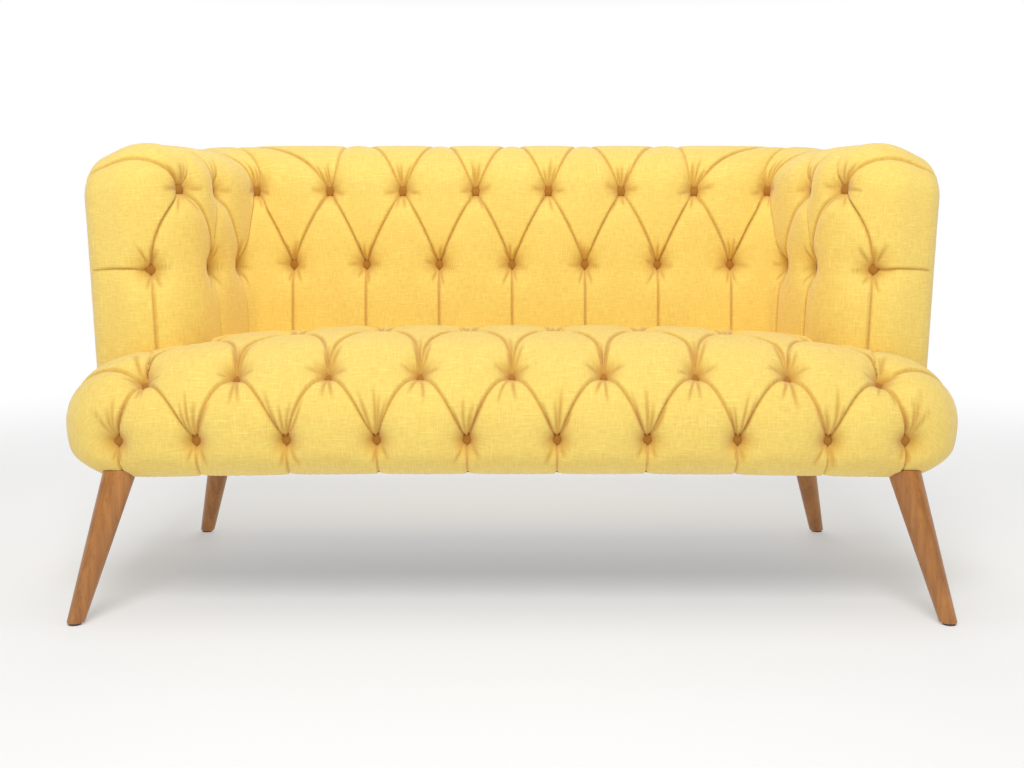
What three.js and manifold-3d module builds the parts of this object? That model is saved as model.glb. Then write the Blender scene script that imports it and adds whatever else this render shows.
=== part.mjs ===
// Two-seat tufted sofa: an upholstered seat deck on four splayed legs, with a U-shaped
// upholstered tub (back and two arms) bolted on top of it.
// Millimetres, +Z up. The origin is on the floor at the middle of the sofa, the front faces -Y.

import * as THREE from 'three';
import { mergeVertices } from 'three/addons/utils/BufferGeometryUtils.js';
import Module from 'manifold-3d';

const wasm = await Module();
wasm.setup();

// ---- driving dimensions -------------------------------------------------------------------

const GAP = 0.3; // between touching pieces
const FLOOR_CUT = 400; // half size of the slabs that trim pieces level

// seat deck
const SEAT_HALF_WIDTH = 712;
const SEAT_FRONT = -296;
const SEAT_REAR = 284;
const SEAT_BOTTOM = 228;
const SEAT_WAIST = 300; // height of the bull nose's widest line
const SEAT_TOP = 415;
const SEAT_NOSE_IN = 88; // how far the top rounds in
const SEAT_TUCK_IN = 40; // how far the underside tucks in
const SEAT_CORNER = 90; // plan corner radius at the widest line
const SEAT_REAR_CORNER = 40;

// seat frame
const FRAME_HALF_WIDTH = 630;
const FRAME_HALF_DEPTH = 250;
const FRAME_BOTTOM = 232;
const FRAME_TOP = 300;
const RAIL = 28;
const FRONT_BLOCK = [90, 90]; // across X, across Y
const REAR_BLOCK = [135, 90];
const CROSS_RAIL_X = 190;

// legs: top centre and how far each one leans out per unit of height
const FRONT_LEG_X = 619;
const REAR_LEG_X = 554;
const LEG_Y = 243;
const LEAN_SIDE = 0.258;
const LEAN_FORE = 0.282;
const LEG_TOP_RADIUS = 25;
const LEG_FOOT_RADIUS = 13;
const GLIDE_RADIUS = 10;
const GLIDE_HEIGHT = 3;
const BOLT_RADIUS = 4;
const BOLT_CLEARANCE = 0.5;
const BOLT_IN_LEG = 45;
const BOLT_IN_BLOCK = 50;

// webbing
const STRAP_WIDTH = 60;
const STRAP_THICKNESS = 2;
const FORE_STRAP_COUNT = 5;
const FORE_STRAP_PITCH = 220;
const SIDE_STRAP_COUNT = 3;
const SIDE_STRAP_PITCH = 130;

// tub: back and arms
const TUB_BOTTOM = SEAT_TOP + 0.5;
const BACK_TOP = 752;
const ARM_TOP = 748;
const ARM_SKIRT = 335; // the arms' cover starts here and is cut to the deck's round edge
const BACK_INNER_LOW = 122; // inner face at the seat
const BACK_INNER_HIGH = 142; // inner face below the top roll
const BACK_OUTER = 286;
const ARM_FRONT = -123;
const ARM_INNER_LOW = 507;
const ARM_INNER_HIGH = 516;
const ARM_OUTER_LOW = 683;
const ARM_OUTER_HIGH = 695;
const ROLL = 55; // rounding of the top edges
const PANEL_THICKNESS = 8;
const POST = 30;
const LOWER_RAIL_HEIGHT = 40;
const TUB_RAIL_Y = 215; // front face of the back's frame
const TUB_RAIL_X = 615; // inner face of an arm's frame
const BACK_POST_X = [-615, -205, 205, 615];
const BACK_FRAME_TOP = 722;
const ARM_FRAME_TOP = 712;
const ARM_FRAME_FRONT = -92;
const TUB_BOLT_RADIUS = 4;
const DUST_COVER_BOTTOM = 229.2;
const DUST_COVER_THICKNESS = 1.2;

// ---- materials ----------------------------------------------------------------------------

const paint = (color, roughness, metalness = 0) => () =>
  new THREE.MeshStandardMaterial({ color, roughness, metalness });
const yellowFabric = paint('#f0c55a', 0.95);
const brownWood = paint('#8a5a33', 0.5);
const frameWood = paint('#d1ac78', 0.8);
const steel = paint('#b5b8bb', 0.35, 0.9);
const webbing = paint('#5a4a3a', 0.9);
const blackCloth = paint('#202022', 0.95);
const nylon = paint('#2a2522', 0.6);

// ---- helpers ------------------------------------------------------------------------------

const sofa = new THREE.Group();
sofa.name = 'sofa';

function addMesh(name, geometry, material) {
  const mesh = new THREE.Mesh(geometry, material());
  mesh.name = name;
  sofa.add(mesh);
  return mesh;
}

function toSolid(geometry) {
  const bare = geometry.clone();
  bare.deleteAttribute('normal');
  bare.deleteAttribute('uv');
  const merged = mergeVertices(bare, 1e-3);
  return new wasm.Manifold(new wasm.Mesh({
    numProp: 3,
    vertProperties: new Float32Array(merged.attributes.position.array),
    triVerts: new Uint32Array(merged.index.array),
  }));
}

function toGeometry(solid) {
  const mesh = solid.getMesh();
  const geometry = new THREE.BufferGeometry();
  geometry.setAttribute('position', new THREE.BufferAttribute(mesh.vertProperties, 3));
  geometry.setIndex(new THREE.BufferAttribute(mesh.triVerts, 1));
  geometry.computeVertexNormals();
  return geometry;
}

// A box between two limits on each axis.
function boxGeometry([x0, x1], [y0, y1], [z0, z1]) {
  const geometry = new THREE.BoxGeometry(x1 - x0, y1 - y0, z1 - z0);
  return geometry.translate((x0 + x1) / 2, (y0 + y1) / 2, (z0 + z1) / 2);
}

// The same limits on the side given by its sign.
const mirrored = (side, [a, b]) => (side > 0 ? [a, b] : [-b, -a]);

// A profile drawn in Y and Z, extruded along X.
function extrudeAlongX(points, x0, x1) {
  const shape = new THREE.Shape(points.map(([y, z]) => new THREE.Vector2(y, z)));
  const geometry = new THREE.ExtrudeGeometry(shape, { depth: x1 - x0, bevelEnabled: false });
  const cycle = new THREE.Matrix4().set(0, 0, 1, x0, 1, 0, 0, 0, 0, 1, 0, 0, 0, 0, 0, 1);
  return geometry.applyMatrix4(cycle);
}

// A profile drawn in X and Z, extruded along Y.
function extrudeAlongY(points, y0, y1) {
  const shape = new THREE.Shape(points.map(([x, z]) => new THREE.Vector2(x, z)));
  const geometry = new THREE.ExtrudeGeometry(shape, { depth: y1 - y0, bevelEnabled: false });
  return geometry.rotateX(Math.PI / 2).translate(0, y1, 0);
}

// Points of a quarter ellipse about a centre, from one angle to another, in degrees.
function arcPoints([cu, cv], ru, rv, from, to, steps = 5) {
  return Array.from({ length: steps + 1 }, (_, i) => {
    const angle = THREE.MathUtils.degToRad(from + ((to - from) * i) / steps);
    return [cu + ru * Math.cos(angle), cv + rv * Math.sin(angle)];
  });
}

// A cylinder whose axis starts at a point and follows a direction.
function rodGeometry(start, direction, from, to, radius, sides = 12) {
  const rod = new THREE.CylinderGeometry(radius, radius, to - from, sides);
  rod.rotateX(Math.PI / 2).translate(0, 0, (from + to) / 2);
  const turn = new THREE.Quaternion().setFromUnitVectors(new THREE.Vector3(0, 0, 1), direction);
  return rod.applyQuaternion(turn).translate(start.x, start.y, start.z);
}

// ---- seat deck ----------------------------------------------------------------------------

// Plan outline of the deck, drawn in by a distance: round front and rear corners.
function deckOutline(inset, z) {
  const x = SEAT_HALF_WIDTH - inset;
  const front = SEAT_FRONT + inset;
  const rear = SEAT_REAR - Math.min(inset, SEAT_TUCK_IN) * 0.4;
  const rf = Math.max(SEAT_CORNER - inset, 25);
  const corners = [
    [[x - rf, front + rf], rf, -90, 0],
    [[x - SEAT_REAR_CORNER, rear - SEAT_REAR_CORNER], SEAT_REAR_CORNER, 0, 90],
    [[-x + SEAT_REAR_CORNER, rear - SEAT_REAR_CORNER], SEAT_REAR_CORNER, 90, 180],
    [[-x + rf, front + rf], rf, 180, 270],
  ];
  return corners.flatMap(([centre, r, from, to]) =>
    arcPoints(centre, r, r, from, to, 4).map(([px, py]) => [px, py, z]));
}

// A closed solid through a stack of plan outlines with equal point counts, bottom first.
function loftGeometry(outlines) {
  const count = outlines[0].length;
  const points = outlines.flat();
  const faces = [];
  for (let level = 0; level + 1 < outlines.length; level += 1) {
    for (let i = 0; i < count; i += 1) {
      const a = level * count + i;
      const b = level * count + ((i + 1) % count);
      faces.push(a, b, b + count, a, b + count, a + count);
    }
  }
  const top = (outlines.length - 1) * count;
  for (let i = 1; i + 1 < count; i += 1) {
    faces.push(0, i + 1, i, top, top + i, top + i + 1);
  }
  const geometry = new THREE.BufferGeometry();
  geometry.setAttribute('position', new THREE.Float32BufferAttribute(points.flat(), 3));
  geometry.setIndex(faces);
  return geometry;
}

// The deck's outer shape, grown by a clearance where a neighbour is cut to it.
function deckSolid(clearance) {
  const below = arcPoints([0, SEAT_WAIST], SEAT_TUCK_IN, SEAT_WAIST - SEAT_BOTTOM, -90, 0, 4)
    .map(([r, z]) => deckOutline(SEAT_TUCK_IN - r - clearance, z));
  const above = arcPoints([0, SEAT_WAIST], SEAT_NOSE_IN, SEAT_TOP - SEAT_WAIST, 0, 90, 6)
    .slice(1)
    .map(([r, z]) => deckOutline(SEAT_NOSE_IN - r - clearance, z + clearance));
  return toSolid(loftGeometry([...below, ...above]));
}

function seatPad() {
  const body = deckSolid(0);
  const cavity = boxGeometry(
    [-FRAME_HALF_WIDTH - 1, FRAME_HALF_WIDTH + 1],
    [-FRAME_HALF_DEPTH - 1, FRAME_HALF_DEPTH + 1],
    [SEAT_BOTTOM - 10, FRAME_TOP + 12],
  );
  let pad = body.subtract(toSolid(cavity));
  for (const [x, y] of tubBoltPlaces()) {
    pad = pad.subtract(toSolid(tubBoltHole(x, y)));
  }
  return toGeometry(pad);
}

function seatFrame() {
  const height = [FRAME_BOTTOM, FRAME_TOP];
  const inner = FRAME_HALF_DEPTH - RAIL;
  const frontEnd = FRAME_HALF_WIDTH - FRONT_BLOCK[0] - GAP;
  const rearEnd = FRAME_HALF_WIDTH - REAR_BLOCK[0] - GAP;
  const raised = [FRAME_BOTTOM + 16, FRAME_TOP];
  addMesh('seat_rail_front',
    boxGeometry([-frontEnd, frontEnd], [-FRAME_HALF_DEPTH, -inner], raised), frameWood);
  addMesh('seat_rail_rear',
    boxGeometry([-rearEnd, rearEnd], [inner, FRAME_HALF_DEPTH], raised), frameWood);
  for (const [sideName, side] of [['left', -1], ['right', 1]]) {
    const railX = mirrored(side, [FRAME_HALF_WIDTH - RAIL, FRAME_HALF_WIDTH]);
    const frontLimit = -FRAME_HALF_DEPTH + FRONT_BLOCK[1];
    const rearLimit = FRAME_HALF_DEPTH - REAR_BLOCK[1];
    addMesh(`seat_rail_${sideName}`,
      boxGeometry(railX, [frontLimit + GAP, rearLimit - GAP], raised), frameWood);
    const crossX = mirrored(side, [CROSS_RAIL_X - RAIL / 2, CROSS_RAIL_X + RAIL / 2]);
    addMesh(`cross_rail_${sideName}`,
      boxGeometry(crossX, [-inner + GAP, inner - GAP], [FRAME_BOTTOM + 16, FRAME_TOP - 6]),
      frameWood);
    for (const leg of legPlaces().filter((place) => place.side === side)) {
      const block = leg.fore < 0 ? FRONT_BLOCK : REAR_BLOCK;
      const blockX = mirrored(side, [FRAME_HALF_WIDTH - block[0], FRAME_HALF_WIDTH]);
      const blockY = leg.fore < 0
        ? [-FRAME_HALF_DEPTH, -FRAME_HALF_DEPTH + block[1]]
        : [FRAME_HALF_DEPTH - block[1], FRAME_HALF_DEPTH];
      const hole = rodGeometry(leg.top, leg.up, -30, BOLT_IN_BLOCK + 2,
        BOLT_RADIUS + BOLT_CLEARANCE);
      const body = toSolid(boxGeometry(blockX, blockY, height)).subtract(toSolid(hole));
      addMesh(`leg_block_${leg.name}`, toGeometry(body), frameWood);
    }
  }
}

function webbingStraps() {
  const low = FRAME_TOP + GAP;
  for (let i = 0; i < FORE_STRAP_COUNT; i += 1) {
    const x = (i - (FORE_STRAP_COUNT - 1) / 2) * FORE_STRAP_PITCH;
    addMesh(`webbing_fore_${i + 1}`,
      boxGeometry([x - STRAP_WIDTH / 2, x + STRAP_WIDTH / 2],
        [-FRAME_HALF_DEPTH, FRAME_HALF_DEPTH], [low, low + STRAP_THICKNESS]), webbing);
  }
  const high = low + STRAP_THICKNESS + GAP;
  for (let i = 0; i < SIDE_STRAP_COUNT; i += 1) {
    const y = (i - (SIDE_STRAP_COUNT - 1) / 2) * SIDE_STRAP_PITCH;
    addMesh(`webbing_side_${i + 1}`,
      boxGeometry([-FRAME_HALF_WIDTH, FRAME_HALF_WIDTH],
        [y - STRAP_WIDTH / 2, y + STRAP_WIDTH / 2], [high, high + STRAP_THICKNESS]), webbing);
  }
}

function dustCover() {
  const reach = 0.5;
  let cover = toSolid(boxGeometry(
    [-FRAME_HALF_WIDTH - reach, FRAME_HALF_WIDTH + reach],
    [-FRAME_HALF_DEPTH - reach, FRAME_HALF_DEPTH + reach],
    [DUST_COVER_BOTTOM, DUST_COVER_BOTTOM + DUST_COVER_THICKNESS],
  ));
  for (const leg of legPlaces()) {
    const hole = rodGeometry(leg.top, leg.up, -30, 30, BOLT_RADIUS + 2);
    cover = cover.subtract(toSolid(hole));
  }
  addMesh('dust_cover', toGeometry(cover), blackCloth);
}

// ---- legs ---------------------------------------------------------------------------------

// Each leg's top centre, and the unit vector that climbs along its axis.
function legPlaces() {
  const places = [];
  for (const [foreName, fore, x] of [['front', -1, FRONT_LEG_X], ['rear', 1, REAR_LEG_X]]) {
    for (const [sideName, side] of [['left', -1], ['right', 1]]) {
      places.push({
        name: `${foreName}_${sideName}`,
        side,
        fore,
        top: new THREE.Vector3(side * x, fore * LEG_Y, SEAT_BOTTOM),
        up: new THREE.Vector3(-side * LEAN_SIDE, -fore * LEAN_FORE, 1).normalize(),
      });
    }
  }
  return places;
}

function legSet() {
  const height = SEAT_BOTTOM - GLIDE_HEIGHT;
  for (const leg of legPlaces()) {
    const length = height / leg.up.z;
    const spare = 30; // turned past both ends, then cut level
    const radiusAt = (s) => LEG_TOP_RADIUS + ((LEG_FOOT_RADIUS - LEG_TOP_RADIUS) * s) / length;
    const profile = [
      new THREE.Vector2(0, spare),
      new THREE.Vector2(radiusAt(-spare), spare),
      new THREE.Vector2(radiusAt(length + spare), -length - spare),
      new THREE.Vector2(0, -length - spare),
    ].reverse();
    const cone = new THREE.LatheGeometry(profile, 24).rotateX(Math.PI / 2);
    const turn = new THREE.Quaternion().setFromUnitVectors(new THREE.Vector3(0, 0, 1), leg.up);
    cone.applyQuaternion(turn).translate(leg.top.x, leg.top.y, leg.top.z);
    const slab = boxGeometry(
      [leg.top.x - FLOOR_CUT, leg.top.x + FLOOR_CUT],
      [leg.top.y - FLOOR_CUT, leg.top.y + FLOOR_CUT],
      [GLIDE_HEIGHT + GAP, SEAT_BOTTOM],
    );
    const bore = rodGeometry(leg.top, leg.up, -BOLT_IN_LEG - 2, 40, BOLT_RADIUS + BOLT_CLEARANCE);
    const body = toSolid(cone).intersect(toSolid(slab)).subtract(toSolid(bore));
    addMesh(`leg_${leg.name}`, toGeometry(body), brownWood);
    addMesh(`leg_bolt_${leg.name}`,
      rodGeometry(leg.top, leg.up, -BOLT_IN_LEG, BOLT_IN_BLOCK, BOLT_RADIUS), steel);

    const foot = leg.top.clone().addScaledVector(leg.up, -SEAT_BOTTOM / leg.up.z);
    const glide = new THREE.CylinderGeometry(GLIDE_RADIUS, GLIDE_RADIUS, GLIDE_HEIGHT, 24);
    glide.rotateX(Math.PI / 2).translate(foot.x, foot.y, GLIDE_HEIGHT / 2);
    addMesh(`glide_${leg.name}`, glide, nylon);
  }
}

// ---- tub ----------------------------------------------------------------------------------

// Where the four bolts join the tub to the seat frame: on the rear and side rails.
function tubBoltPlaces() {
  const x = FRAME_HALF_WIDTH - RAIL / 2;
  const y = FRAME_HALF_DEPTH - RAIL / 2;
  return [[-x, -60], [x, -60], [-300, y], [300, y]];
}

// How far out an arm's leaning outer face is at a height.
const outerFaceAt = (z) => {
  const share = (z - ARM_SKIRT) / (ARM_TOP - ROLL - ARM_SKIRT);
  return ARM_OUTER_LOW + (ARM_OUTER_HIGH - ARM_OUTER_LOW) * share;
};

// The clearance hole for a tub bolt, through the seat's foam and a tub rail.
function tubBoltHole(x, y) {
  const radius = TUB_BOLT_RADIUS + BOLT_CLEARANCE;
  const hole = new THREE.CylinderGeometry(radius, radius, 2 * (SEAT_TOP - FRAME_TOP), 8);
  return hole.rotateX(Math.PI / 2).translate(x, y, SEAT_TOP);
}

// The back's padding: inner face and top roll, in front of and above the back's frame.
function backPad() {
  const rollCentre = [BACK_INNER_HIGH + ROLL, BACK_TOP - ROLL];
  const rearRoll = 20;
  const profile = [
    [TUB_RAIL_Y - 8, TUB_BOTTOM],
    [BACK_INNER_LOW, TUB_BOTTOM],
    ...arcPoints(rollCentre, ROLL, ROLL, 180, 90, 5),
    ...arcPoints([BACK_OUTER - rearRoll, BACK_TOP - 6 - rearRoll], rearRoll, rearRoll, 90, 0, 3),
    [BACK_OUTER, BACK_FRAME_TOP + 2],
    [BACK_OUTER - PANEL_THICKNESS - 2, BACK_FRAME_TOP + 2],
    [TUB_RAIL_Y - 8, BACK_FRAME_TOP + 2],
  ];
  const reach = ARM_INNER_LOW - GAP;
  addMesh('back_pad', extrudeAlongX(profile, -reach, reach), yellowFabric);
}

// One arm's padding: inner face, front face and top roll around the arm's frame. It runs
// back past the end of the back's padding, and its foot is cut to the deck's round edge.
function armPad(sideName, side) {
  const outerRoll = 35;
  const profile = [
    [ARM_INNER_LOW, ARM_SKIRT],
    ...arcPoints([ARM_INNER_HIGH + ROLL, ARM_TOP - ROLL], ROLL, ROLL, 180, 90, 5),
    ...arcPoints([ARM_OUTER_HIGH - outerRoll, ARM_TOP - outerRoll], outerRoll, outerRoll, 90, 0, 4),
    [ARM_OUTER_LOW, ARM_SKIRT],
  ].map(([x, z]) => [side * x, z]);
  const block = toSolid(extrudeAlongY(profile, ARM_FRONT, BACK_OUTER));

  // rounded over at the front and rear ends of its top
  const frontRoll = 28;
  const rearRoll = 20;
  const sidePlan = [
    [BACK_OUTER, ARM_SKIRT - 5],
    [ARM_FRONT, ARM_SKIRT - 5],
    ...arcPoints([ARM_FRONT + frontRoll, ARM_TOP - frontRoll], frontRoll, frontRoll, 180, 90, 4),
    ...arcPoints([BACK_OUTER - rearRoll, ARM_TOP - rearRoll], rearRoll, rearRoll, 90, 0, 3),
  ];
  const sideCut = toSolid(extrudeAlongX(sidePlan, -ARM_OUTER_HIGH - 50, ARM_OUTER_HIGH + 50));
  const armFrameRoom = toSolid(boxGeometry(
    mirrored(side, [TUB_RAIL_X - 8, ARM_OUTER_HIGH + 40]),
    [ARM_FRAME_FRONT - 2, BACK_OUTER + 5],
    [ARM_SKIRT - 10, ARM_FRAME_TOP + 2],
  ));
  const backFrameRoom = toSolid(boxGeometry(
    mirrored(side, [ARM_INNER_LOW - 10, ARM_OUTER_HIGH + 40]),
    [TUB_RAIL_Y - 8, BACK_OUTER + 5],
    [ARM_SKIRT - 10, BACK_FRAME_TOP + 2],
  ));
  const pad = block.intersect(sideCut)
    .subtract(armFrameRoom)
    .subtract(backFrameRoom)
    .subtract(deckSolid(GAP));
  addMesh(`arm_pad_${sideName}`, toGeometry(pad), yellowFabric);
}

function backFrame() {
  const depth = [TUB_RAIL_Y, TUB_RAIL_Y + POST];
  const lowTop = TUB_BOTTOM + LOWER_RAIL_HEIGHT;
  const reach = TUB_RAIL_X + POST;
  addMesh('back_rail_lower', withBoltHoles(boxGeometry([-reach, reach], depth,
    [TUB_BOTTOM, lowTop])), frameWood);
  addMesh('back_rail_top', boxGeometry([-reach, reach], depth,
    [BACK_FRAME_TOP - POST, BACK_FRAME_TOP]), frameWood);
  BACK_POST_X.forEach((x, i) => {
    addMesh(`back_post_${i + 1}`, boxGeometry([x - POST / 2, x + POST / 2], depth,
      [lowTop + GAP, BACK_FRAME_TOP - POST - GAP]), frameWood);
  });
}

function armFrame(sideName, side) {
  const across = mirrored(side, [TUB_RAIL_X - 5, TUB_RAIL_X + POST]);
  const along = [ARM_FRAME_FRONT, TUB_RAIL_Y - GAP];
  const lowTop = TUB_BOTTOM + LOWER_RAIL_HEIGHT;
  addMesh(`arm_rail_lower_${sideName}`,
    withBoltHoles(boxGeometry(across, along, [TUB_BOTTOM, lowTop])), frameWood);
  addMesh(`arm_rail_top_${sideName}`, boxGeometry(across, along,
    [ARM_FRAME_TOP - POST, ARM_FRAME_TOP]), frameWood);
  addMesh(`arm_post_${sideName}`, boxGeometry(across,
    [ARM_FRAME_FRONT, ARM_FRAME_FRONT + POST],
    [lowTop + GAP, ARM_FRAME_TOP - POST - GAP]), frameWood);
}

// A tub rail with its share of the tub bolts' holes.
function withBoltHoles(geometry) {
  let rail = toSolid(geometry);
  for (const [x, y] of tubBoltPlaces()) {
    rail = rail.subtract(toSolid(tubBoltHole(x, y)));
  }
  return toGeometry(rail);
}

function tubBolts() {
  const low = FRAME_TOP + 2 * (STRAP_THICKNESS + GAP) + 2;
  const high = TUB_BOTTOM + LOWER_RAIL_HEIGHT - 5;
  tubBoltPlaces().forEach(([x, y], i) => {
    const bolt = new THREE.CylinderGeometry(TUB_BOLT_RADIUS, TUB_BOLT_RADIUS, high - low, 8);
    bolt.rotateX(Math.PI / 2).translate(x, y, (low + high) / 2);
    addMesh(`tub_bolt_${i + 1}`, bolt, steel);
  });
}

// Plain covered panels that close the tub's outside, cut to the deck's round edge.
function outsidePanels() {
  const reach = ARM_OUTER_LOW - PANEL_THICKNESS - GAP;
  addMesh('outside_back_panel',
    boxGeometry([-reach, reach], [BACK_OUTER - PANEL_THICKNESS, BACK_OUTER],
      [TUB_BOTTOM + 2, BACK_FRAME_TOP + 2 - GAP]), yellowFabric);
  const top = ARM_FRAME_TOP + 2 - GAP;
  for (const [sideName, side] of [['left', -1], ['right', 1]]) {
    const profile = [
      [outerFaceAt(ARM_SKIRT) - PANEL_THICKNESS, ARM_SKIRT],
      [outerFaceAt(ARM_SKIRT), ARM_SKIRT],
      [outerFaceAt(top), top],
      [outerFaceAt(top) - PANEL_THICKNESS, top],
    ].map(([x, z]) => [side * x, z]);
    const sheet = toSolid(extrudeAlongY(profile, ARM_FRAME_FRONT - 2 + GAP, BACK_OUTER));
    addMesh(`outside_arm_panel_${sideName}`,
      toGeometry(sheet.subtract(deckSolid(GAP))), yellowFabric);
  }
}

// ---- assembly -----------------------------------------------------------------------------

addMesh('seat_pad', seatPad(), yellowFabric);
seatFrame();
webbingStraps();
dustCover();
legSet();
backPad();
backFrame();
for (const [sideName, side] of [['left', -1], ['right', 1]]) {
  armPad(sideName, side);
  armFrame(sideName, side);
}
tubBolts();
outsidePanels();

export default sofa;
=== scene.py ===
"""Two-seat deep-buttoned sofa: tufted seat deck, U-shaped tub, buttons and splayed legs."""

import math

import bpy
import numpy as np
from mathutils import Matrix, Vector


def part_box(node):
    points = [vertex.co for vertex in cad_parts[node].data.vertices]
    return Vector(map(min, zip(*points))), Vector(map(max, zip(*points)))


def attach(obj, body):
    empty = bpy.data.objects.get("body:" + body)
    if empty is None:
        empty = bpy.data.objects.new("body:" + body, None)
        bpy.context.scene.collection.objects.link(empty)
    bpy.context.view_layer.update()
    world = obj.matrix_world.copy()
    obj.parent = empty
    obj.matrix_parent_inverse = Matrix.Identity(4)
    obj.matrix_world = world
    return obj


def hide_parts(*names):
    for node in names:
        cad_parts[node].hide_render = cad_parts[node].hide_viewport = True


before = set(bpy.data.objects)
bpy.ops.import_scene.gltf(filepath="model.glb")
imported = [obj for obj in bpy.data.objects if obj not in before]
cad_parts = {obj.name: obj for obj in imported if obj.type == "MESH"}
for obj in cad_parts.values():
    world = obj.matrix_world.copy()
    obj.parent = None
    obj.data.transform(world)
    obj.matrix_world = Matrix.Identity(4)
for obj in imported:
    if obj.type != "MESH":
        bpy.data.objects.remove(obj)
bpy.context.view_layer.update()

bl_info = {
    "name": "Tufted sofa",
    "version": (1, 0, 0),
    "blender": (4, 5, 0),
    "location": "3D View > Sidebar > Sofa",
    "description": "Builds a deep-buttoned two-seat sofa with splayed wooden legs",
    "category": "Add Mesh",
}

SIDES = (("left", -1), ("right", 1))
LEGS = [f"{end}_{side}" for end in ("front", "rear") for side, _ in SIDES]


# ---- what a user would change ---------------------------------------------------------------

def length(name, description, default, low=0.0):
    """A size in metres with its description."""
    return bpy.props.FloatProperty(name=name, description=description, default=default,
                                   min=low, unit="LENGTH", precision=4)


def colour(name, description, default):
    """A linear colour with its description."""
    return bpy.props.FloatVectorProperty(name=name, description=description, default=default,
                                         size=3, subtype="COLOR", min=0.0, max=1.0)


class SofaSizes(bpy.types.PropertyGroup):
    """Sizes of the padding and buttons."""

    seat_pitch: length("Seat pitch", "Distance between seat buttons across the sofa", 0.144)
    seat_row: length("Seat rows", "Distance between rows of seat buttons", 0.143)
    front_pitch: length("Front pitch", "Distance between buttons on the seat's front", 0.140)
    seat_puff: length("Seat puff", "How far the seat's padding stands above its buttons", 0.034)
    seat_crown: length("Seat crown", "How much the seat rises towards its middle", 0.028)
    tub_pitch: length("Back pitch", "Distance between buttons along the back and arms", 0.133)
    tub_puff: length("Back puff", "How far the back's padding stands above its buttons", 0.031)
    lower_row: length("Lower row", "Height of the lower row of back buttons", 0.540)
    upper_row: length("Upper row", "Height of the upper row of back buttons", 0.673)
    button: length("Button", "Diameter of a covered button", 0.0205)


class SofaColours(bpy.types.PropertyGroup):
    """Colours of the cloth and the wood."""

    cloth: colour("Cloth", "Colour of the linen cover", (0.90, 0.65, 0.150))
    wood: colour("Wood", "Colour of the legs", (0.43, 0.172, 0.036))


# ---- shared helpers -------------------------------------------------------------------------

def make_piece(name, verts, faces, material, uvs=None, smooth=True):
    """Links a mesh object that rides on the sofa's one body."""
    mesh = bpy.data.meshes.new(name)
    mesh.from_pydata([tuple(v) for v in verts], [], faces)
    mesh.update()
    if uvs is not None:
        layer = mesh.uv_layers.new(name="cloth")
        corner = np.empty(len(mesh.loops), np.int32)
        mesh.loops.foreach_get("vertex_index", corner)
        layer.data.foreach_set("uv", np.asarray(uvs, np.float32)[corner].ravel())
    if smooth:
        mesh.shade_smooth()
    piece = bpy.data.objects.new(name, mesh)
    bpy.context.scene.collection.objects.link(piece)
    return finish_piece(piece, material)


def finish_piece(piece, material):
    """Gives a piece its material and body."""
    piece.data.materials.clear()
    piece.data.materials.append(material)
    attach(piece, "root")
    return piece


def smoothstep(low, high, x):
    """0 below low, 1 above high, smooth between."""
    t = np.clip((x - low) / (high - low), 0.0, 1.0)
    return t * t * (3.0 - 2.0 * t)


# ---- a padded slab with a round edge on three sides -----------------------------------------

class Slab:
    """The surface of an upholstered slab, spread flat.

    Its flat middle runs to plus and minus `half` along S and up to `limit` along T. Past those
    lines the cover turns over the slab's edge: `edge` lists that turn's points as (how far out,
    how far down), and `place` puts points (S, T, down) in the sofa. `facing` is 1 where S turned
    towards T runs anticlockwise seen from outside, and -1 where it runs clockwise.
    """

    corner = 0.12  # the length of ring coordinate given to a corner's quarter turn

    def __init__(self, half, limit, edge, place, facing):
        self.half, self.limit, self.place, self.facing = half, limit, place, facing
        self.edge = np.array(edge)
        steps = np.linalg.norm(np.diff(self.edge, axis=0), axis=1)
        self.along = np.concatenate([[0.0], np.cumsum(steps)])

    def past(self, flat):
        """How far flat points lie past the middle."""
        return np.hypot(np.maximum(np.abs(flat[:, 0]) - self.half, 0.0),
                        np.maximum(flat[:, 1] - self.limit, 0.0))

    def surface(self, flat):
        """The 3-D places of flat points."""
        near = np.stack([np.clip(flat[:, 0], -self.half, self.half),
                         np.minimum(flat[:, 1], self.limit)], axis=1)
        past = self.past(flat)
        way = (flat - near) / np.maximum(past, 1e-9)[:, None]
        out = np.interp(past, self.along, self.edge[:, 0])
        down = np.interp(past, self.along, self.edge[:, 1])
        reach = near + way * out[:, None]
        return self.place(reach[:, 0], reach[:, 1], down)

    def ring(self, turn, past):
        """Flat points at ring coordinate `turn`, a distance `past` outside the middle."""
        turn = np.asarray(turn, float)
        t = np.abs(turn)
        angle = np.clip((t - self.half) / self.corner, 0.0, 1.0) * math.pi / 2
        s = np.minimum(t, self.half) + past * np.sin(angle)
        drop = np.maximum(t - self.half - self.corner, 0.0)
        return np.stack([np.sign(turn) * s, self.limit - drop + past * np.cos(angle)], axis=-1)

    def end_turn(self, t_value):
        """Ring coordinate of a place on the right-hand end, by its T."""
        return self.half + self.corner + self.limit - t_value


def name_of(place):
    """A flat place's name in a quilt."""
    return tuple(np.round(place, 5))


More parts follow.
